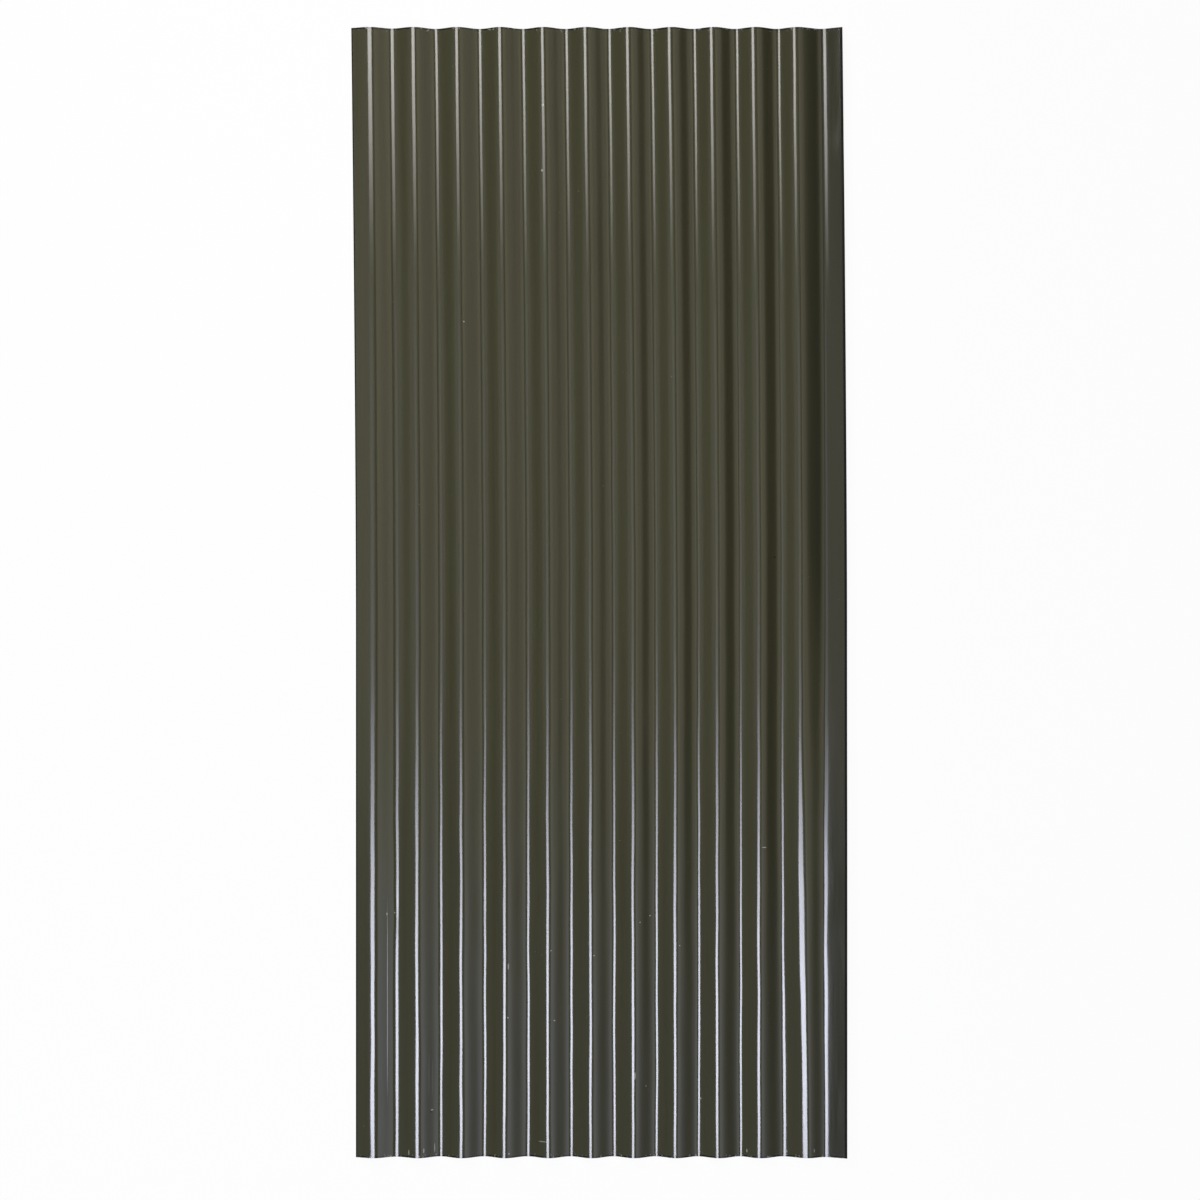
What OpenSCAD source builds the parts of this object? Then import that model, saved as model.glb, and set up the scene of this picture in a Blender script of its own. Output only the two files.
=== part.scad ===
// Corrugated roofing sheet, rolled from one strip of coated steel.
// It lies on its valleys: X runs across the waves, Y along them and Z is up.

/* [Sheet] */
// Length of the sheet along its waves
sheet_length = 2000; // [600:10:4000]
// Thickness of the coated metal
thickness = 0.5; // [0.3:0.05:1.2]

/* [Waves] */
// Distance from one crest to the next
pitch = 76.2; // [50:0.1:130]
// Overall height, from the underside of a valley to the top of a crest
depth = 18; // [10:0.5:30]
// Width of the narrow flat along each crest and valley
line_flat = 2.4; // [1:0.1:6]
// Number of crests across the sheet
crest_count = 11; // [3:1:16]

/* [Edges] */
// Distance from the left edge to the first crest line
left_edge_run = 32; // [18:0.5:38]
// Distance from the last valley line to the right edge
right_edge_run = 37; // [18:0.5:38]
// Share of the full wave height that the outer waves keep on the left, where the edge springs back
left_wave_share = 0.6; // [0.2:0.02:1]
// Share of the full wave height that the outer wave keeps on the right
right_wave_share = 0.56; // [0.2:0.02:1]

/* [Hidden] */
paint_olive = [0.26, 0.25, 0.2];

// Facets along each flank, from the flat of one line to the flat of the next
flank_facets = 15;

// Crest and valley lines are numbered from the first crest, 0, so odd lines are valleys
line_gap = pitch / 2;
flank_run = line_gap - line_flat;
last_line = 2 * crest_count - 1;

// The middle of the metal lies at this height on a crest, and swings down this far to a full valley
crest_z = depth - thickness / 2;
swing = depth - thickness;

left_x = -left_edge_run;
right_x = last_line * line_gap + right_edge_run;
middle_x = (left_x + right_x) / 2;

// Drop of the middle of the metal below the crests at line k
function line_drop(k) =
    k % 2 == 0 ? 0 :
    k <= 1 ? swing * left_wave_share :
    k >= last_line ? swing * right_wave_share :
    swing;

// Number of the line at x or next to its left, and the angle along the flank that follows it
function line_before(x) = floor(x / line_gap);
function flank_angle(x) =
    let (past_flat = x - line_before(x) * line_gap - line_flat / 2)
    180 * max(0, min(1, past_flat / flank_run));

// Height and slope of the middle of the metal at x: each flank is half a cosine wave
function wave_z(x) =
    let (k = line_before(x), from = line_drop(k), to = line_drop(k + 1))
    crest_z - (from + to) / 2 - (from - to) / 2 * cos(flank_angle(x));
function wave_slope(x) =
    let (k = line_before(x), half_fall = (line_drop(k) - line_drop(k + 1)) / 2)
    half_fall * sin(flank_angle(x)) * PI / flank_run;

// Places across the sheet where the section has a point: both edges, and every facet between them
facet_run = flank_run / flank_facets;
facet_xs = [
    for (k = [line_before(left_x) : line_before(right_x)], i = [0 : flank_facets])
        k * line_gap + line_flat / 2 + i * facet_run
];
section_xs = concat(
    left_x,
    [for (x = facet_xs) if (x > left_x + facet_run / 2 && x < right_x - facet_run / 2) x],
    right_x
);

// Point of the section at x, pushed out from the middle of the metal along its normal
function face_point(x, push) =
    let (slope = wave_slope(x), stretch = sqrt(1 + slope * slope))
    [x - push * slope / stretch, wave_z(x) + push / stretch];

module wave_section() {
    upper = [for (x = section_xs) face_point(x, thickness / 2)];
    lower = [for (x = section_xs) face_point(x, -thickness / 2)];
    last = len(section_xs) - 1;
    polygon(concat(lower, [for (i = [last : -1 : 0]) upper[i]]));
}

module corrugated_sheet() {
    color(paint_olive)
        translate([-middle_x, 0, 0])
            rotate([90, 0, 0])
                linear_extrude(sheet_length, center = true)
                    wave_section();
}

corrugated_sheet();
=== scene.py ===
import math

import bpy
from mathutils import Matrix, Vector


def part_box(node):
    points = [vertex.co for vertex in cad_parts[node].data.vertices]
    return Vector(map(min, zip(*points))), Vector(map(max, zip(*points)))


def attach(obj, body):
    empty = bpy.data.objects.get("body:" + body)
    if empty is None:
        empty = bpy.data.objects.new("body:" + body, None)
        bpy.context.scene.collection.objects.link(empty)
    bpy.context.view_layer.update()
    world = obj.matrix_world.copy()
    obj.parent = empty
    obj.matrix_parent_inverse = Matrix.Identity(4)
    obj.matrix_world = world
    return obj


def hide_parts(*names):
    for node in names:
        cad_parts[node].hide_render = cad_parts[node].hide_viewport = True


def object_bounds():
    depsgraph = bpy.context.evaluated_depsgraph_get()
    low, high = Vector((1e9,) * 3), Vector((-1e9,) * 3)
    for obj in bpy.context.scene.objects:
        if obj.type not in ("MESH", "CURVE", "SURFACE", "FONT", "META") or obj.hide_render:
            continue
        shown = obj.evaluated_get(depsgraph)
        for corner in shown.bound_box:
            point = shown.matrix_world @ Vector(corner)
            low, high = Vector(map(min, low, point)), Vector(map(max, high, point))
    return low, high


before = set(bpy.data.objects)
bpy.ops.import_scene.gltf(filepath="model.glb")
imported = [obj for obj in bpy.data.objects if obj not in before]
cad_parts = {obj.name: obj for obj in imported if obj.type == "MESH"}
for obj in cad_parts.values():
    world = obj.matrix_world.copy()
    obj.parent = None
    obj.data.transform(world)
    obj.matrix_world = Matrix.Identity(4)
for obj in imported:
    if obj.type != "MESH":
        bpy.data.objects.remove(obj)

cadLow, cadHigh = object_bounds()
scene = bpy.context.scene
scene.view_settings.view_transform = "Standard"

# the photograph's frame in its own pixels, and the width that it spans at the sheet
photo = {
    "pixels": 1200,
    "frameWidth": 2.1252,
    "sheetMiddle": (600.0, 592.6),
}
perPixel = photo["frameWidth"] / photo["pixels"]


def placeOfPixel(px, py):  # metres from the middle of the sheet
    return (px - photo["sheetMiddle"][0]) * perPixel, (photo["sheetMiddle"][1] - py) * perPixel


# small tools for building node trees
def feed(tree, socket, term):
    if isinstance(term, bpy.types.NodeSocket):
        tree.links.new(term, socket)
    else:
        socket.default_value = term


def addNode(tree, kind, terms=None, **settings):
    node = tree.nodes.new(kind)
    for name, value in settings.items():
        setattr(node, name, value)
    for name, term in (terms or {}).items():
        feed(tree, node.inputs[name], term)
    return node


def calc(tree, operation, *terms):
    node = tree.nodes.new("ShaderNodeMath")
    node.operation = operation
    for socket, term in zip(node.inputs, terms):
        feed(tree, socket, term)
    return node.outputs[0]


def ramp(tree, value, low, high, lowResult=0.0, highResult=1.0):
    return addNode(tree, "ShaderNodeMapRange", {
        "Value": value, "From Min": low, "From Max": high, "To Min": lowResult, "To Max": highResult,
    }, interpolation_type="SMOOTHSTEP").outputs[0]


def addSockets(tree, way, kind, *names):
    for name in names:
        tree.interface.new_socket(name, in_out=way, socket_type="NodeSocket" + kind)


# the rolled sheet: its wave follows a rule, so one tree of geometry nodes makes it
sheet = {
    "node": "corrugated_sheet",
    "slot": "olive_paint",
    "columns": 410,
    "rows": 111,
    "wave": {
        "Pitch": 0.0762,
        "Wall": 0.0005,
        "First Crest": 0.032,       # in from the left edge
        "Last Line": 21.0,          # lines are counted from the first crest, so odd ones are valleys
        "Left Edge Share": 0.58,    # of the full height, kept where the outer waves sprang back
        "Left Share": 0.8,
        "Right Share": 0.6,         # of the last valley at the lower end
        "Right Twist": 0.38,        # how much deeper it is from the middle up
        "Right Pull": 0.1,          # how far the last lines lie out at the lower end, in steps
        "Crest Pull": 0.15,         # how much further the last crest does
        "Crest Press": 0.0009,      # how deep that crest is pressed flat
        "Valley Pull": 0.14,        # how far the last valley lies out at the upper end
        "Edge Rise": 0.83,          # steepness of the edge past that valley at the lower end
        "Edge Twist": 0.25,         # how much steeper it is from the middle up
        "Edge Lift": 0.31,          # and how much more at the upper end
        "Crest Breadth": 0.03,      # crests are a little broader than valleys
        "Breadth Gain": 0.05,       # and more so towards the right
        "Last Breadth": 0.15,       # and on the last shallow wave
        "Bow": 0.0042,              # how far the middle waves lie to the right of an even pitch
        "Bow Twist": 0.0013,
        "Bow Reach": 0.314,
        "Drift": 0.0078,
        "Camber": 0.0083,           # sideways lean of the upper end
        "Camber From": -0.05,
        "Side Band": 0.0029,        # strip of painted shade along both sides
        "Side Shift": 0.0009,       # broader on the right
        "Wander": 0.0036,           # sideways wobble of the lines
        "Wander Size": 0.15,
        "Ripple": 0.0004,           # unevenness in height
        "Ripple Size": 0.16,
        "Seed": 7.0,
    },
    # stretches along the sheet, in metres from its middle, over which a change comes in
    "along": {
        "wobble": (-0.6, 0.3),
        "rightPull": (-1.0, -0.45),
        "crestPull": (-1.0, -0.15),
        "valleyPull": (-0.9, 0.3),
        "shallow": (-0.5, 0.1),
        "upperCurve": (0.2, 0.9),
        "lowerCurve": (-0.5, -0.2),
        "edgeTwist": (-0.35, 0.15),
        "edgeLift": (0.2, 0.9),
        "level": (0.5, 0.98),
        "corner": (0.92, 0.985),
        "press": (-0.5, -0.2),
    },
    "leanPower": 1.5,
    "leanRest": 0.28,               # puts the lean on both sides of the straight line
    "wobbleWidth": 0.05,            # how quickly the wobble changes across the sheet, in metres
    "wobbleLeast": 0.4,             # share of it that is left towards the upper end
    "breadthFrom": (-0.05, 0.33),   # across the sheet
    "pullFrom": (-2.5, 0.0),        # in steps from the last crest, as are the next three
    "valleyFrom": (0.2, 1.0),
    "pressMiddle": -0.09,
    "pressWidth": 0.185,
    "edgeCurve": (0.15, 0.26),      # roundness of the last valley in the middle and at the upper end
    "lowerCurve": -0.02,            # what the lower end adds to it
    "levelFrom": 0.35,              # steps past the last valley
    "level": 0.3,
    "cornerLevel": 0.02,
    "weld": 0.00001,
    "sharpAngle": 50.0,
    # pixel across, pixel down, half width and half length in metres, depth in metres
    "dents": [
        (398, 915, 0.009, 0.020, 0.0007),
        (484, 909, 0.009, 0.022, 0.0006),
        (456, 356, 0.009, 0.020, 0.0005),
        (841, 140, 0.012, 0.026, 0.0012),
    ],
}


def stretchedNoise(tree, x, y, sizeX, sizeY, seed):
    spot = addNode(tree, "ShaderNodeCombineXYZ", {
        "X": calc(tree, "DIVIDE", x, sizeX),
        "Y": calc(tree, "DIVIDE", y, sizeY),
    }).outputs[0]
    return addNode(tree, "ShaderNodeTexNoise", {
        "Vector": spot, "W": seed, "Scale": 1.0, "Detail": 1.0,
    }, noise_dimensions="4D").outputs[0]


def dentDepth(tree, x, y, dent):
    px, py, halfWidth, halfLength, depth = dent
    placeX, placeY = placeOfPixel(px, py)
    across = calc(tree, "DIVIDE", calc(tree, "SUBTRACT", x, placeX), halfWidth)
    along = calc(tree, "DIVIDE", calc(tree, "SUBTRACT", y, placeY), halfLength)
    away = calc(tree, "ADD", calc(tree, "MULTIPLY", across, across), calc(tree, "MULTIPLY", along, along))
    return calc(tree, "MULTIPLY", calc(tree, "EXPONENT", calc(tree, "MULTIPLY", away, -1.0)), depth)


def nearTo(tree, distance):  # 1 at no distance, 0 from one step away
    return ramp(tree, calc(tree, "ABSOLUTE", distance), 0.0, 1.0, 1.0, 0.0)


def buildSheetTree(faceFinish, sideShadeFinish, backFinish, rimFinish):
    tree = bpy.data.node_groups.new("corrugatedSheet", "GeometryNodeTree")
    addSockets(tree, "INPUT", "Float", "Width", "Length", "Depth", *sheet["wave"])
    addSockets(tree, "INPUT", "Int", "Columns", "Rows")
    addSockets(tree, "OUTPUT", "Geometry", "Sheet")
    given = addNode(tree, "NodeGroupInput").outputs

    flat = addNode(tree, "GeometryNodeMeshGrid", {
        "Size X": given["Width"], "Size Y": given["Length"],
        "Vertices X": given["Columns"], "Vertices Y": given["Rows"],
    }).outputs["Mesh"]
    spot = addNode(tree, "ShaderNodeSeparateXYZ", {
        "Vector": addNode(tree, "GeometryNodeInputPosition").outputs[0],
    }).outputs
    x, y = spot["X"], spot["Y"]

    def eased(name, lowResult=0.0, highResult=1.0):
        return ramp(tree, y, *sheet["along"][name], lowResult, highResult)

    halfLength = calc(tree, "MULTIPLY", given["Length"], 0.5)

    # the upper end leans a little to the left
    reach = calc(tree, "SUBTRACT", halfLength, given["Camber From"])
    above = calc(tree, "MAXIMUM", calc(tree, "SUBTRACT", y, given["Camber From"]), 0.0)
    bend = calc(tree, "POWER", calc(tree, "DIVIDE", above, reach), sheet["leanPower"])
    bend = calc(tree, "SUBTRACT", bend, sheet["leanRest"])
    leanX = calc(tree, "SUBTRACT", x, calc(tree, "MULTIPLY", bend, given["Camber"]))

    # how far across the waves a place is, in steps from line to line; lines wobble most at the lower end
    noise = stretchedNoise(tree, x, y, sheet["wobbleWidth"], given["Wander Size"], given["Seed"])
    wobble = calc(tree, "MULTIPLY", calc(tree, "SUBTRACT", noise, 0.5), given["Wander"])
    wobble = calc(tree, "MULTIPLY", wobble, eased("wobble", 1.0, sheet["wobbleLeast"]))
    alongY = calc(tree, "DIVIDE", y, given["Length"])
    bow = calc(tree, "SUBTRACT", given["Bow"], calc(tree, "MULTIPLY", alongY, given["Bow Twist"]))
    outward = calc(tree, "POWER", calc(tree, "DIVIDE", calc(tree, "ABSOLUTE", x), given["Bow Reach"]), 2.0)
    bow = calc(tree, "MULTIPLY", bow, calc(tree, "SUBTRACT", 1.0, outward))
    shift = calc(tree, "SUBTRACT", bow, calc(tree, "MULTIPLY", x, given["Drift"]))
    fromLeft = calc(tree, "ADD", x, calc(tree, "MULTIPLY", given["Width"], 0.5))
    fromCrest = calc(tree, "ADD", calc(tree, "SUBTRACT", fromLeft, given["First Crest"]), wobble)
    steps = calc(tree, "SUBTRACT", fromCrest, shift)
    steps = calc(tree, "DIVIDE", steps, calc(tree, "MULTIPLY", given["Pitch"], 0.5))

    # the last lines lie further out
    lastCrest = calc(tree, "SUBTRACT", given["Last Line"], 1.0)
    beside = calc(tree, "SUBTRACT", steps, lastCrest)
    pull = calc(tree, "MULTIPLY", eased("rightPull", 1.0, 0.0), ramp(tree, beside, *sheet["pullFrom"]))
    pull = calc(tree, "MULTIPLY", pull, given["Right Pull"])
    crestPull = calc(tree, "MULTIPLY", eased("crestPull", 1.0, 0.0), nearTo(tree, beside))
    pull = calc(tree, "ADD", pull, calc(tree, "MULTIPLY", crestPull, given["Crest Pull"]))
    valleyPull = calc(tree, "MULTIPLY", eased("valleyPull"), ramp(tree, beside, *sheet["valleyFrom"]))
    pull = calc(tree, "ADD", pull, calc(tree, "MULTIPLY", valleyPull, given["Valley Pull"]))
    beside = calc(tree, "SUBTRACT", beside, pull)
    steps = calc(tree, "ADD", lastCrest, beside)

    # the outer waves are shallower than the rest: on the left all along, on the right in the lower half
    upward = eased("shallow")
    deepened = calc(tree, "MULTIPLY", upward, given["Right Twist"])
    rightShare = calc(tree, "ADD", given["Right Share"], deepened)
    firstLoss = calc(tree, "SUBTRACT", 1.0, given["Left Share"])
    edgeLoss = calc(tree, "SUBTRACT", given["Left Share"], given["Left Edge Share"])
    onFirst = calc(tree, "LESS_THAN", steps, 2.0)
    onEdge = calc(tree, "LESS_THAN", steps, 0.0)
    share = calc(tree, "SUBTRACT", 1.0, calc(tree, "MULTIPLY", onFirst, firstLoss))
    share = calc(tree, "SUBTRACT", share, calc(tree, "MULTIPLY", onEdge, edgeLoss))
    rightLoss = calc(tree, "SUBTRACT", 1.0, rightShare)
    onRight = calc(tree, "GREATER_THAN", beside, 0.0)
    share = calc(tree, "SUBTRACT", share, calc(tree, "MULTIPLY", onRight, rightLoss))

    # fall below the crests, a cosine from crest to valley with the crests broadened
    inner = calc(tree, "MINIMUM", steps, given["Last Line"])
    turn = calc(tree, "MULTIPLY", calc(tree, "PINGPONG", inner, 1.0), math.pi)
    breadth = calc(tree, "MULTIPLY", ramp(tree, x, *sheet["breadthFrom"]), given["Breadth Gain"])
    breadth = calc(tree, "ADD", breadth, given["Crest Breadth"])
    flattened = calc(tree, "MULTIPLY", onRight, calc(tree, "SUBTRACT", 1.0, upward))
    breadth = calc(tree, "ADD", breadth, calc(tree, "MULTIPLY", flattened, given["Last Breadth"]))
    turn = calc(tree, "SUBTRACT", turn, calc(tree, "MULTIPLY", calc(tree, "SINE", turn), breadth))
    fall = calc(tree, "COSINE", turn)
    fall = calc(tree, "MULTIPLY", calc(tree, "SUBTRACT", 1.0, fall), calc(tree, "MULTIPLY", share, 0.5))

    # past the last valley the edge turns up along a hyperbola, and at the upper end it levels off a little
    past = calc(tree, "MAXIMUM", calc(tree, "SUBTRACT", steps, given["Last Line"]), 0.0)
    curve = eased("upperCurve", *sheet["edgeCurve"])
    curve = calc(tree, "ADD", curve, eased("lowerCurve", sheet["lowerCurve"], 0.0))
    away = calc(tree, "ADD", calc(tree, "MULTIPLY", past, past), calc(tree, "MULTIPLY", curve, curve))
    away = calc(tree, "SUBTRACT", calc(tree, "SQRT", away), curve)
    twist = calc(tree, "MULTIPLY", eased("edgeTwist"), given["Edge Twist"])
    lift = calc(tree, "MULTIPLY", eased("edgeLift"), given["Edge Lift"])
    steepness = calc(tree, "ADD", given["Edge Rise"], calc(tree, "ADD", twist, lift))
    rise = calc(tree, "MULTIPLY", away, steepness)
    outer = calc(tree, "MAXIMUM", calc(tree, "SUBTRACT", past, sheet["levelFrom"]), 0.0)
    level = eased("level", 0.0, sheet["level"])
    level = calc(tree, "ADD", level, eased("corner", 0.0, sheet["cornerLevel"]))
    levelled = calc(tree, "MULTIPLY", calc(tree, "MULTIPLY", outer, outer), level)
    fall = calc(tree, "SUBTRACT", fall, calc(tree, "SUBTRACT", rise, levelled))

    # height of the middle of the metal, with the pressed crest, dents and a slight ripple
    drop = calc(tree, "MULTIPLY", fall, calc(tree, "SUBTRACT", given["Depth"], given["Wall"]))
    offPress = calc(tree, "SUBTRACT", beside, sheet["pressMiddle"])
    offPress = calc(tree, "DIVIDE", offPress, sheet["pressWidth"])
    press = calc(tree, "EXPONENT", calc(tree, "MULTIPLY", calc(tree, "MULTIPLY", offPress, offPress), -1.0))
    press = calc(tree, "MULTIPLY", press, eased("press", 1.0, 0.0))
    drop = calc(tree, "ADD", drop, calc(tree, "MULTIPLY", press, given["Crest Press"]))
    for dent in sheet["dents"]:
        drop = calc(tree, "ADD", drop, dentDepth(tree, leanX, y, dent))
    noise = stretchedNoise(tree, x, y, given["Ripple Size"], given["Ripple Size"], given["Seed"])
    crestZ = calc(tree, "SUBTRACT", given["Depth"], calc(tree, "MULTIPLY", given["Wall"], 0.5))
    ripple = calc(tree, "MULTIPLY", noise, given["Ripple"])
    z = calc(tree, "ADD", calc(tree, "SUBTRACT", crestZ, drop), ripple)
    z = calc(tree, "MAXIMUM", z, calc(tree, "MULTIPLY", given["Wall"], 0.5))
    middle = addNode(tree, "GeometryNodeSetPosition", {
        "Geometry": flat,
        "Position": addNode(tree, "ShaderNodeCombineXYZ", {"X": leanX, "Y": y, "Z": z}).outputs[0],
    }).outputs[0]

    # the wall: the face is half of it up from the middle, the back and the rim are drawn down through it
    halfUp = addNode(tree, "ShaderNodeVectorMath", {
        "Vector": addNode(tree, "GeometryNodeInputNormal").outputs[0],
        "Scale": calc(tree, "MULTIPLY", given["Wall"], 0.5),
    }, operation="SCALE").outputs[0]
    face = addNode(tree, "GeometryNodeSetPosition", {"Geometry": middle, "Offset": halfUp}).outputs[0]
    face = addNode(tree, "GeometryNodeSetShadeSmooth", {"Geometry": face}).outputs[0]
    through = addNode(tree, "GeometryNodeExtrudeMesh", {
        "Mesh": face, "Offset Scale": calc(tree, "MULTIPLY", given["Wall"], -1.0), "Individual": False,
    }, mode="FACES").outputs
    turned = addNode(tree, "GeometryNodeFlipFaces", {"Mesh": through["Mesh"]}).outputs[0]
    turned = addNode(tree, "GeometryNodeSetShadeSmooth", {
        "Geometry": turned, "Selection": through["Side"], "Shade Smooth": False,
    }).outputs[0]
    joined = addNode(tree, "GeometryNodeJoinGeometry")
    for half in (face, turned):
        tree.links.new(half, joined.inputs[0])
    result = addNode(tree, "GeometryNodeMergeByDistance", {
        "Geometry": joined.outputs[0], "Distance": sheet["weld"],
    }).outputs[0]

    # which faces take which finish
    unleant = calc(tree, "ADD", x, calc(tree, "MULTIPLY", bend, given["Camber"]))
    offMiddle = calc(tree, "ADD", unleant, given["Side Shift"])
    halfWidth = calc(tree, "MULTIPLY", given["Width"], 0.5)
    inward = calc(tree, "SUBTRACT", halfWidth, calc(tree, "ABSOLUTE", offMiddle))
    # the strip along both sides takes the painted shade
    atSide = calc(tree, "LESS_THAN", inward, given["Side Band"])
    finishes = (
        (faceFinish, True), (sideShadeFinish, atSide), (backFinish, through["Top"]), (rimFinish, through["Side"]),
    )
    result = addNode(tree, "GeometryNodeRealizeInstances", {"Geometry": result}).outputs[0]
    for material, where in finishes:
        result = addNode(tree, "GeometryNodeSetMaterial", {
            "Geometry": result, "Selection": where, "Material": material,
        }).outputs[0]
    addNode(tree, "NodeGroupOutput", {"Sheet": result})
    return tree


def meshFromTree(name, tree, values):
    piece = bpy.data.objects.new(name, bpy.data.meshes.new(name))
    scene.collection.objects.link(piece)
    modifier = piece.modifiers.new("shape", "NODES")
    modifier.node_group = tree
    for item in tree.interface.items_tree:
        if item.in_out == "INPUT":
            modifier[item.identifier] = values[item.name]
    depsgraph = bpy.context.evaluated_depsgraph_get()
    made = bpy.data.meshes.new_from_object(piece.evaluated_get(depsgraph), depsgraph=depsgraph)
    piece.modifiers.remove(modifier)
    # keeps the face's shading clear of the rim
    made.set_sharp_from_angle(angle=math.radians(sheet["sharpAngle"]))
    piece.data = made
    return piece


# shared effect: fine lines that the coating rollers left along the sheet, and broader bands
streakDetail = 2.0
broadScale = 0.12


def buildStreakGroup():
    group = bpy.data.node_groups.new("rollStreaks", "ShaderNodeTree")
    addSockets(group, "INPUT", "Float", "Fineness", "Stretch")
    addSockets(group, "OUTPUT", "Float", "Fine", "Broad")
    given = addNode(group, "NodeGroupInput").outputs
    spot = addNode(group, "ShaderNodeSeparateXYZ", {
        "Vector": addNode(group, "ShaderNodeTexCoord").outputs["Object"],
    }).outputs
    across = calc(group, "MULTIPLY", spot["X"], given["Fineness"])
    along = calc(group, "DIVIDE", calc(group, "MULTIPLY", spot["Y"], given["Fineness"]), given["Stretch"])
    lined = addNode(group, "ShaderNodeCombineXYZ", {"X": across, "Y": along, "Z": spot["Z"]}).outputs[0]
    noises = {}
    for name, scale in (("Fine", 1.0), ("Broad", broadScale)):
        noises[name] = addNode(group, "ShaderNodeTexNoise", {
            "Vector": lined, "Scale": scale, "Detail": streakDetail,
        }).outputs[0]
    addNode(group, "NodeGroupOutput", noises)
    return group


# shared effect: one soft-edged mark of a given half width and half length
markEdge = (0.4, 1.2)  # squared distances, in half sizes, between which a mark fades


def buildMarkGroup():
    group = bpy.data.node_groups.new("mark", "ShaderNodeTree")
    addSockets(group, "INPUT", "Float", "X", "Y", "Half Width", "Half Length")
    addSockets(group, "OUTPUT", "Float", "Mask")
    given = addNode(group, "NodeGroupInput").outputs
    spot = addNode(group, "ShaderNodeSeparateXYZ", {
        "Vector": addNode(group, "ShaderNodeTexCoord").outputs["Object"],
    }).outputs
    across = calc(group, "DIVIDE", calc(group, "SUBTRACT", spot["X"], given["X"]), given["Half Width"])
    along = calc(group, "DIVIDE", calc(group, "SUBTRACT", spot["Y"], given["Y"]), given["Half Length"])
    away = calc(group, "ADD", calc(group, "MULTIPLY", across, across), calc(group, "MULTIPLY", along, along))
    addNode(group, "NodeGroupOutput", {"Mask": ramp(group, away, *markEdge, 1.0, 0.0)})
    return group


# shared effect: flecks where the coat broke along the cut ends, and a thin strip of painted shade along the
# brink itself
endWearAndShade = {
    "fleckScale": 240.0,
    "fleckDetail": 2.0,
    "fleckEdge": (0.78, 0.84),
    "brinkShade": (0.0022, 0.0036),  # painted shade band, in from the end, in metres
}


def buildEndWearAndShadeGroup():
    group = bpy.data.node_groups.new("endWearAndShade", "ShaderNodeTree")
    addSockets(group, "INPUT", "Float", "End", "Band", "Amount")
    addSockets(group, "OUTPUT", "Float", "Mask", "Brink Shade")
    given = addNode(group, "NodeGroupInput").outputs
    place = addNode(group, "ShaderNodeTexCoord").outputs["Object"]
    spot = addNode(group, "ShaderNodeSeparateXYZ", {"Vector": place}).outputs
    inward = calc(group, "SUBTRACT", given["End"], calc(group, "ABSOLUTE", spot["Y"]))
    nearness = calc(group, "SUBTRACT", 1.0, calc(group, "DIVIDE", inward, given["Band"]))
    nearness = calc(group, "MAXIMUM", nearness, 0.0)
    flecks = addNode(group, "ShaderNodeTexNoise", {
        "Vector": place, "Scale": endWearAndShade["fleckScale"], "Detail": endWearAndShade["fleckDetail"],
    }).outputs[0]
    level = calc(group, "ADD", flecks, calc(group, "MULTIPLY", nearness, given["Amount"]))
    mask = ramp(group, level, *endWearAndShade["fleckEdge"])
    brinkShade = ramp(group, inward, *endWearAndShade["brinkShade"], 1.0, 0.0)
    addNode(group, "NodeGroupOutput", {"Mask": mask, "Brink Shade": brinkShade})
    return group


def newMaterial(name, shade, roughness):
    material = bpy.data.materials.new(name)
    material.use_nodes = True
    material.diffuse_color = (*shade, 1.0)
    material.roughness = roughness
    return material, material.node_tree, material.node_tree.nodes["Principled BSDF"]


def placeGroup(tree, group, terms):
    node = tree.nodes.new("ShaderNodeGroup")
    node.node_tree = group
    for name, term in terms.items():
        feed(tree, node.inputs[name], term)
    return node.outputs


def mixColor(tree, amount, first, second):
    node = addNode(tree, "ShaderNodeMix", data_type="RGBA")
    feed(tree, node.inputs[0], amount)
    for socket, color in zip((node.inputs[6], node.inputs[7]), (first, second)):
        feed(tree, socket, color if isinstance(color, bpy.types.NodeSocket) else (*color, 1.0))
    return node.outputs[2]


def streakTone(tree, streaks, fineShare):
    fine = calc(tree, "MULTIPLY", streaks["Fine"], fineShare)
    return calc(tree, "ADD", fine, calc(tree, "MULTIPLY", streaks["Broad"], 1.0 - fineShare))


def addBump(tree, shader, height, strength, distance):
    bump = addNode(tree, "ShaderNodeBump", {"Strength": strength, "Distance": distance, "Height": height})
    tree.links.new(bump.outputs[0], shader.inputs["Normal"])


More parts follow.
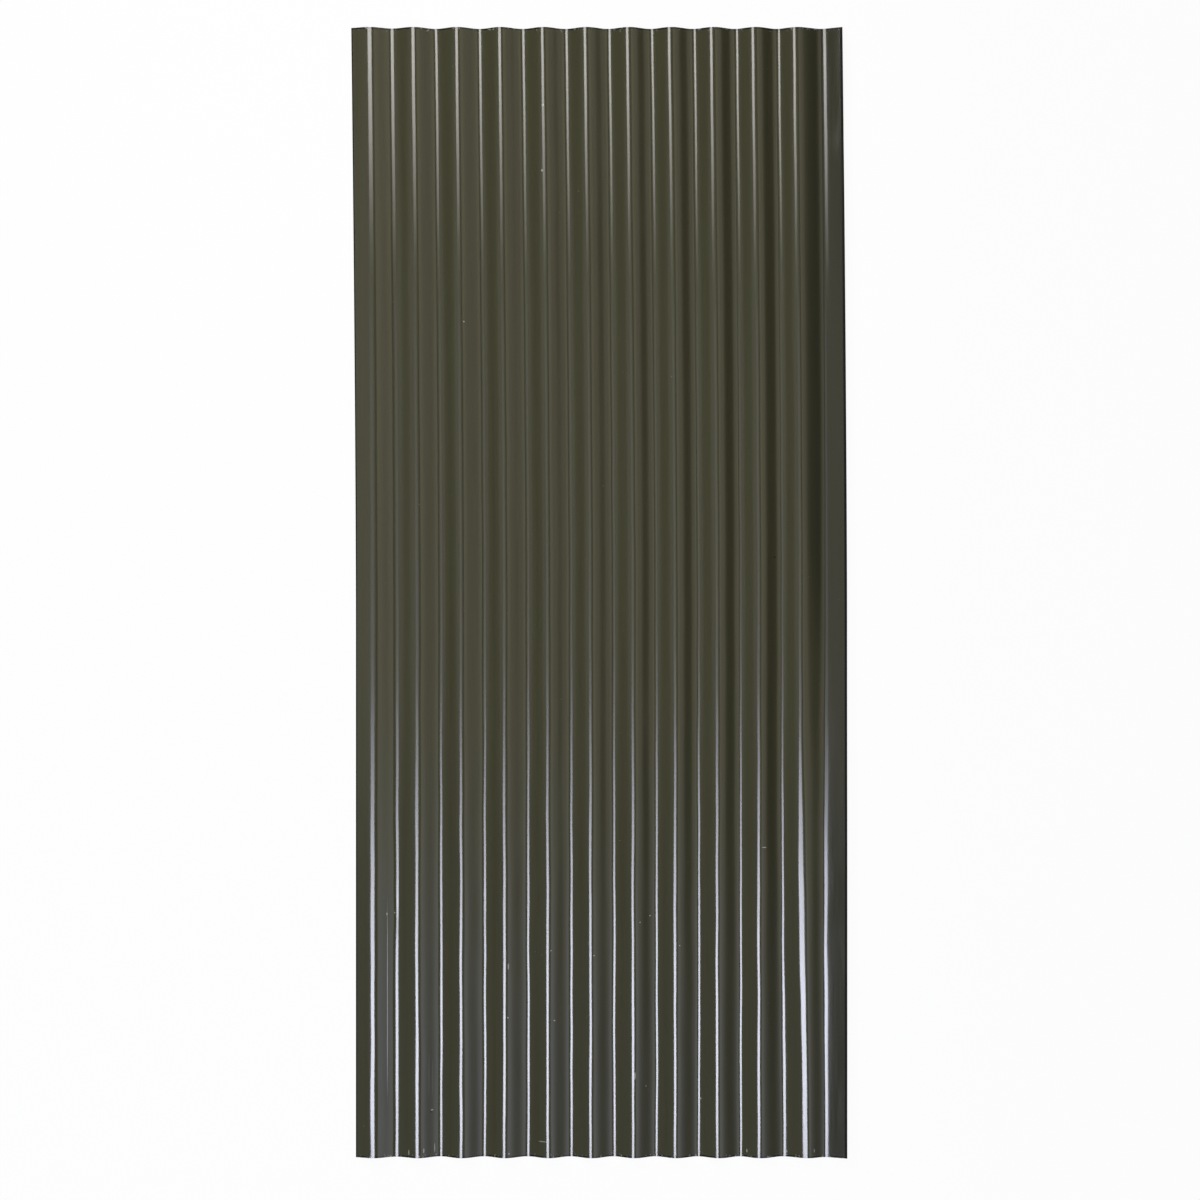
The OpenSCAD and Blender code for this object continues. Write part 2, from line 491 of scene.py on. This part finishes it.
# glossy olive paint on the upper face
paint = {
    "olive": (0.0575, 0.0578, 0.0302),
    "brown": (0.0558, 0.0500, 0.0264),
    # painted shade: the paint darkens towards the right edge, where the lip lies in shade
    "edgeShadeTone": (0.036, 0.0345, 0.0190),
    "edgeFrom": (0.385, 0.34),  # across the sheet, at the lower and the upper end
    "edgeTo": 0.405,
    "edgeTurn": (-0.2, 0.25),   # along the sheet, where the one goes over into the other
    "chip": (0.36, 0.36, 0.33),
    # dark specks, and the colour of the painted shade along the cut ends
    "speckAndBrinkShade": (0.012, 0.011, 0.009),
    "roughness": (0.15, 0.22),
    "coatRoughness": 0.07,
    "toneEdge": (0.35, 0.68),
    "streakEdge": (0.3, 0.7),
    "scratchShow": 0.14,
    "fleckShow": 0.6,
    "chipRoughness": 0.3,
    "fineness": 620.0,
    "stretch": 60.0,
    "fineShare": 0.5,
    "endBand": 0.012,
    "endAmount": 0.22,
    "bump": (0.1, 0.00012),
    # pixel across, pixel down, half width and half length in pixels
    "chips": [
        (543, 106, 1.2, 1.5), (542, 171, 1.0, 1.2), (464, 322, 0.8, 0.8), (508.5, 966, 0.6, 3.5),
        (508, 1017, 0.7, 0.9), (554.5, 1020, 1.0, 0.8), (551, 950, 0.7, 0.7), (594, 955, 0.7, 0.7),
        (640, 922, 0.7, 0.7), (650, 916, 0.8, 0.8), (679.5, 945, 0.7, 0.7), (764, 847, 2.5, 0.5),
        (846.4, 748, 0.9, 1.3), (432, 1110, 1.3, 0.8), (635, 1075, 0.6, 4.0), (657.6, 1061, 0.7, 0.7),
        (646, 1086, 0.6, 0.6), (701, 1099, 0.7, 0.7), (543, 1141, 5.0, 0.35), (409, 1152, 0.5, 3.0),
        (424, 1150, 0.6, 2.5), (434.5, 1148, 0.4, 5.0), (509, 1153, 0.7, 1.0), (747, 1151, 0.5, 2.0),
        (787, 1152, 0.6, 1.5), (814, 1150, 0.5, 2.0), (387, 914, 0.8, 1.6),
        (387.4, 1000, 0.45, 100.0), (394.7, 913, 0.6, 0.7), (396.6, 916, 0.7, 0.8),
    ],
    "specks": [(799, 735, 0.9, 0.9), (775, 557, 0.8, 0.8), (431, 1112, 1.3, 0.7)],
    "scratches": [(429, 1075, 0.5, 24.0), (432.5, 1078, 0.4, 20.0)],
}


def marksMask(tree, group, marks):
    mask = 0.0
    for px, py, halfWidth, halfLength in marks:
        placeX, placeY = placeOfPixel(px, py)
        mark = placeGroup(tree, group, {
            "X": placeX, "Y": placeY,
            "Half Width": halfWidth * perPixel, "Half Length": halfLength * perPixel,
        })["Mask"]
        mask = calc(tree, "MAXIMUM", mask, mark)
    return mask


def buildPaint(streakGroup, markGroup, endWearAndShadeGroup):
    material, tree, shader = newMaterial("olivePaint", paint["olive"], paint["roughness"][0])
    streaks = placeGroup(tree, streakGroup, {"Fineness": paint["fineness"], "Stretch": paint["stretch"]})
    tone = streakTone(tree, streaks, paint["fineShare"])
    color = mixColor(tree, ramp(tree, tone, *paint["toneEdge"]), paint["olive"], paint["brown"])
    spot = addNode(tree, "ShaderNodeSeparateXYZ", {
        "Vector": addNode(tree, "ShaderNodeTexCoord").outputs["Object"],
    }).outputs
    # painted shade: the paint darkens towards the right edge
    edgeFrom = ramp(tree, spot["Y"], *paint["edgeTurn"], *paint["edgeFrom"])
    nearEdgeShade = ramp(tree, spot["X"], edgeFrom, paint["edgeTo"])
    color = mixColor(tree, nearEdgeShade, color, paint["edgeShadeTone"])
    scratches = marksMask(tree, markGroup, paint["scratches"])
    color = mixColor(tree, calc(tree, "MULTIPLY", scratches, paint["scratchShow"]), color, paint["chip"])
    color = mixColor(tree, marksMask(tree, markGroup, paint["specks"]), color, paint["speckAndBrinkShade"])
    worn = placeGroup(tree, endWearAndShadeGroup, {
        "End": cadHigh[1], "Band": paint["endBand"], "Amount": paint["endAmount"],
    })
    # painted shade: a thin dark strip along both cut ends
    color = mixColor(tree, worn["Brink Shade"], color, paint["speckAndBrinkShade"])
    flecks = calc(tree, "MULTIPLY", worn["Mask"], paint["fleckShow"])
    chips = calc(tree, "MAXIMUM", marksMask(tree, markGroup, paint["chips"]), flecks)
    color = mixColor(tree, chips, color, paint["chip"])
    tree.links.new(color, shader.inputs["Base Color"])
    rough = ramp(tree, streaks["Fine"], *paint["streakEdge"], *paint["roughness"])
    rough = calc(tree, "ADD", rough, calc(tree, "MULTIPLY", chips, paint["chipRoughness"]))
    tree.links.new(rough, shader.inputs["Roughness"])
    shader.inputs["Coat Weight"].default_value = 1.0
    shader.inputs["Coat Roughness"].default_value = paint["coatRoughness"]
    addBump(tree, shader, streaks["Broad"], *paint["bump"])
    return material


# painted shade: a dark strip along the slit sides, where the edges lie in shade
sideShade = {
    "dark": (0.008, 0.0075, 0.0055),
    "roughness": 0.6,
    "specular": 0.15,
}


def buildSideShade():
    material, tree, shader = newMaterial("sideShadePaint", sideShade["dark"], sideShade["roughness"])
    shader.inputs["Base Color"].default_value = (*sideShade["dark"], 1.0)
    shader.inputs["Roughness"].default_value = sideShade["roughness"]
    shader.inputs["Specular IOR Level"].default_value = sideShade["specular"]
    return material


# dull grey coat on the back
backCoat = {
    "grey": (0.34, 0.34, 0.325),
    "shade": (0.27, 0.27, 0.26),
    "bare": (0.42, 0.42, 0.41),
    "roughness": (0.42, 0.55),
    "fineness": 420.0,
    "stretch": 40.0,
    "fineShare": 0.4,
    "toneEdge": (0.35, 0.65),
    "streakEdge": (0.3, 0.7),
    "endBand": 0.014,
    "endAmount": 0.25,
    "bump": (0.3, 0.0001),
}


def buildBackCoat(streakGroup, endWearAndShadeGroup):
    material, tree, shader = newMaterial("greyBackCoat", backCoat["grey"], backCoat["roughness"][0])
    streaks = placeGroup(tree, streakGroup, {
        "Fineness": backCoat["fineness"], "Stretch": backCoat["stretch"],
    })
    tone = streakTone(tree, streaks, backCoat["fineShare"])
    color = mixColor(tree, ramp(tree, tone, *backCoat["toneEdge"]), backCoat["grey"], backCoat["shade"])
    worn = placeGroup(tree, endWearAndShadeGroup, {
        "End": cadHigh[1], "Band": backCoat["endBand"], "Amount": backCoat["endAmount"],
    })["Mask"]
    tree.links.new(mixColor(tree, worn, color, backCoat["bare"]), shader.inputs["Base Color"])
    rough = ramp(tree, streaks["Fine"], *backCoat["streakEdge"], *backCoat["roughness"])
    tree.links.new(rough, shader.inputs["Roughness"])
    addBump(tree, shader, streaks["Fine"], *backCoat["bump"])
    return material


# bare metal where the sheet was sheared
rim = {
    "zinc": (0.52, 0.53, 0.54),
    "steel": (0.33, 0.32, 0.31),
    "roughness": (0.3, 0.5),
    "grain": 900.0,
    "detail": 3.0,
    "toneEdge": (0.35, 0.65),
    "roughEdge": (0.3, 0.7),
    "bump": (0.3, 0.0001),
}


def buildBareRim():
    material, tree, shader = newMaterial("shearedZinc", rim["zinc"], rim["roughness"][0])
    place = addNode(tree, "ShaderNodeTexCoord").outputs["Object"]
    grain = addNode(tree, "ShaderNodeTexNoise", {
        "Vector": place, "Scale": rim["grain"], "Detail": rim["detail"],
    }).outputs[0]
    color = mixColor(tree, ramp(tree, grain, *rim["toneEdge"]), rim["zinc"], rim["steel"])
    tree.links.new(color, shader.inputs["Base Color"])
    tree.links.new(ramp(tree, grain, *rim["roughEdge"], *rim["roughness"]), shader.inputs["Roughness"])
    shader.inputs["Metallic"].default_value = 1.0
    addBump(tree, shader, grain, *rim["bump"])
    return material


streakGroup = buildStreakGroup()
markGroup = buildMarkGroup()
endWearAndShadeGroup = buildEndWearAndShadeGroup()
olivePaint = buildPaint(streakGroup, markGroup, endWearAndShadeGroup)
sideShadePaint = buildSideShade()
greyBackCoat = buildBackCoat(streakGroup, endWearAndShadeGroup)
shearedZinc = buildBareRim()
print("finishes made")

sheetLow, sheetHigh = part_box(sheet["node"])
sheetTree = buildSheetTree(olivePaint, sideShadePaint, greyBackCoat, shearedZinc)
sheetPiece = meshFromTree("roofingSheet", sheetTree, {
    **sheet["wave"],
    "Width": sheetHigh[0] - sheetLow[0],
    "Length": sheetHigh[1] - sheetLow[1],
    "Depth": sheetHigh[2] - sheetLow[2],
    "Columns": sheet["columns"],
    "Rows": sheet["rows"],
})
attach(sheetPiece, "root")
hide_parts(sheet["node"])
print("sheet made:", len(sheetPiece.data.polygons), "faces")

# pale floor that stays white to the eye and keeps the sheet's shadow
floor = {
    "half": 300.0,
    "drop": 0.0004,
    "white": (0.9, 0.9, 0.9),
    "glow": 0.95,
}


def buildFloor():
    material = bpy.data.materials.new("paleFloor")
    material.use_nodes = True
    tree = material.node_tree
    tree.nodes.clear()
    path = addNode(tree, "ShaderNodeLightPath").outputs
    seen = calc(tree, "MAXIMUM", path["Is Camera Ray"], path["Is Glossy Ray"])
    seen = calc(tree, "MAXIMUM", seen, path["Is Transmission Ray"])
    mix = addNode(tree, "ShaderNodeMixShader", {"Fac": calc(tree, "MULTIPLY", seen, floor["glow"])})
    shaded = addNode(tree, "ShaderNodeBsdfDiffuse", {"Color": (*floor["white"], 1.0)})
    glowing = addNode(tree, "ShaderNodeEmission", {"Strength": 1.0})
    for shader, socket in ((shaded, mix.inputs[1]), (glowing, mix.inputs[2])):
        tree.links.new(shader.outputs[0], socket)
    addNode(tree, "ShaderNodeOutputMaterial", {"Surface": mix.outputs[0]})
    half, low = floor["half"], cadLow[2] - floor["drop"]
    mesh = bpy.data.meshes.new("floor")
    mesh.from_pydata([(-half, -half, low), (half, -half, low), (half, half, low), (-half, half, low)],
                     [], [(0, 1, 2, 3)])
    mesh.materials.append(material)
    plane = bpy.data.objects.new("floor", mesh)
    scene.collection.objects.link(plane)


buildFloor()

# soft lamps over the left side, one for each end, a dim ceiling between them and dim panels round about
lamps = {
    "upperLamp": {
        "place": (-0.47, 0.935, 1.24), "aim": (-0.47, 0.935, 0.0), "size": (0.59, 0.77), "power": 13.6,
        "color": (1.0, 0.975, 0.955), "fades": [("Y", 0.66, 1.62, 0.0)],
    },
    "lowerLamp": {
        "place": (-1.27, -0.5, 4.5), "aim": (-1.27, -0.5, 0.0), "size": (1.9, 3.0), "power": 212.0,
        "color": (0.82, 0.845, 1.0), "fades": [("Y", -0.19, -1.52, 0.025)],
    },
    "ceiling": {
        "place": (-3.0, 0.7, 3.0), "aim": (-3.0, 0.7, 0.0), "size": (6.4, 3.4), "power": 13.9,
        "color": (1.0, 0.99, 0.95),
        "fades": [("X", -6.2, -3.2, 0.0), ("Y", -0.9, -0.1, 0.0), ("Y", 2.4, 0.9, 0.0)],
    },
    "rightPanel": {
        "place": (0.65, 0.0, 1.15), "aim": (0.0, 0.0, 1.15), "size": (3.4, 2.1), "power": 12.3,
        "color": (1.0, 0.945, 0.74),
        "fades": [("Z", 0.13, 0.36, 0.0), ("Z", 0.55, 1.1, 0.74), ("Y", -1.1, -0.2, 0.0)],
    },
    "lowerRightPanel": {
        "place": (0.68, 0.0, 1.15), "aim": (0.0, 0.0, 1.15), "size": (3.4, 2.1), "power": 19.5,
        "color": (0.73, 0.78, 0.93),
        "fades": [("Z", -0.12, 1.05, 0.0), ("Y", -0.2, -1.1, 0.0)],
    },
    "upperPanel": {
        "place": (-5.0, 7.0, 6.0), "aim": (0.0, 0.0, 0.0), "size": (5.0, 5.0), "power": 590.0,
        "color": (1.0, 0.98, 0.95), "fades": [],
    },
    "lowerPanel": {
        "place": (-5.0, -7.0, 6.0), "aim": (0.0, 0.0, 0.0), "size": (5.0, 5.0), "power": 110.0,
        "color": (0.55, 0.8, 1.0), "fades": [],
    },
    "leftPanel": {
        "place": (-6.5, 0.3, 7.5), "aim": (0.0, 0.3, 0.0), "size": (4.6, 12.0), "power": 14.0,
        "color": (1.0, 0.94, 0.76), "fades": [("Y", -1.9, -0.6, 0.0), ("Y", 2.6, 1.0, 0.0)],
    },
    "lowerLeftPanel": {
        "place": (-6.5, -2.6, 7.5), "aim": (0.0, -0.9, 0.0), "size": (4.0, 12.0), "power": 8.1,
        "color": (0.37, 0.55, 1.0), "fades": [],
    },
}


def addLamp(name, lamp):
    light = bpy.data.lights.new(name, "AREA")
    light.shape = "RECTANGLE"
    light.size, light.size_y = lamp["size"]
    light.energy = lamp["power"]
    light.color = lamp["color"]
    light.use_nodes = True
    tree = light.node_tree
    spot = addNode(tree, "ShaderNodeSeparateXYZ", {
        "Vector": addNode(tree, "ShaderNodeNewGeometry").outputs["Position"],
    }).outputs
    strength = 1.0
    for axis, dark, bright, least in lamp["fades"]:  # dim at one end and full at the other
        strength = calc(tree, "MULTIPLY", strength, ramp(tree, spot[axis], dark, bright, least, 1.0))
    feed(tree, tree.nodes["Emission"].inputs["Strength"], strength)
    holder = bpy.data.objects.new(name, light)
    holder.location = lamp["place"]
    towards = Vector(lamp["aim"]) - Vector(lamp["place"])
    holder.rotation_euler = towards.to_track_quat("-Z", "Y").to_euler()
    holder.visible_camera = False
    scene.collection.objects.link(holder)


for name, lamp in lamps.items():
    addLamp(name, lamp)

worldGrey = 0.03
world = bpy.data.worlds.new("studio")
world.use_nodes = True
world.node_tree.nodes["Background"].inputs["Color"].default_value = (worldGrey, worldGrey, worldGrey, 1.0)
scene.world = world
print("floor and lights made")

# camera straight above the sheet
view = {
    "height": 5.0,
    "sensor": 36.0,
    "clipEnd": 1000.0,
}
camera = bpy.data.cameras.new("camera")
camera.sensor_width = view["sensor"]
toSheet = view["height"] - (sheetLow[2] + sheetHigh[2]) / 2
camera.lens = view["sensor"] * toSheet / photo["frameWidth"]
camera.clip_end = view["clipEnd"]
cameraHolder = bpy.data.objects.new("camera", camera)
middlePixel = photo["pixels"] / 2
cameraX, cameraY = placeOfPixel(middlePixel, middlePixel)
cameraHolder.location = (cameraX, cameraY, view["height"])
scene.collection.objects.link(cameraHolder)
scene.camera = cameraHolder
print("camera made")
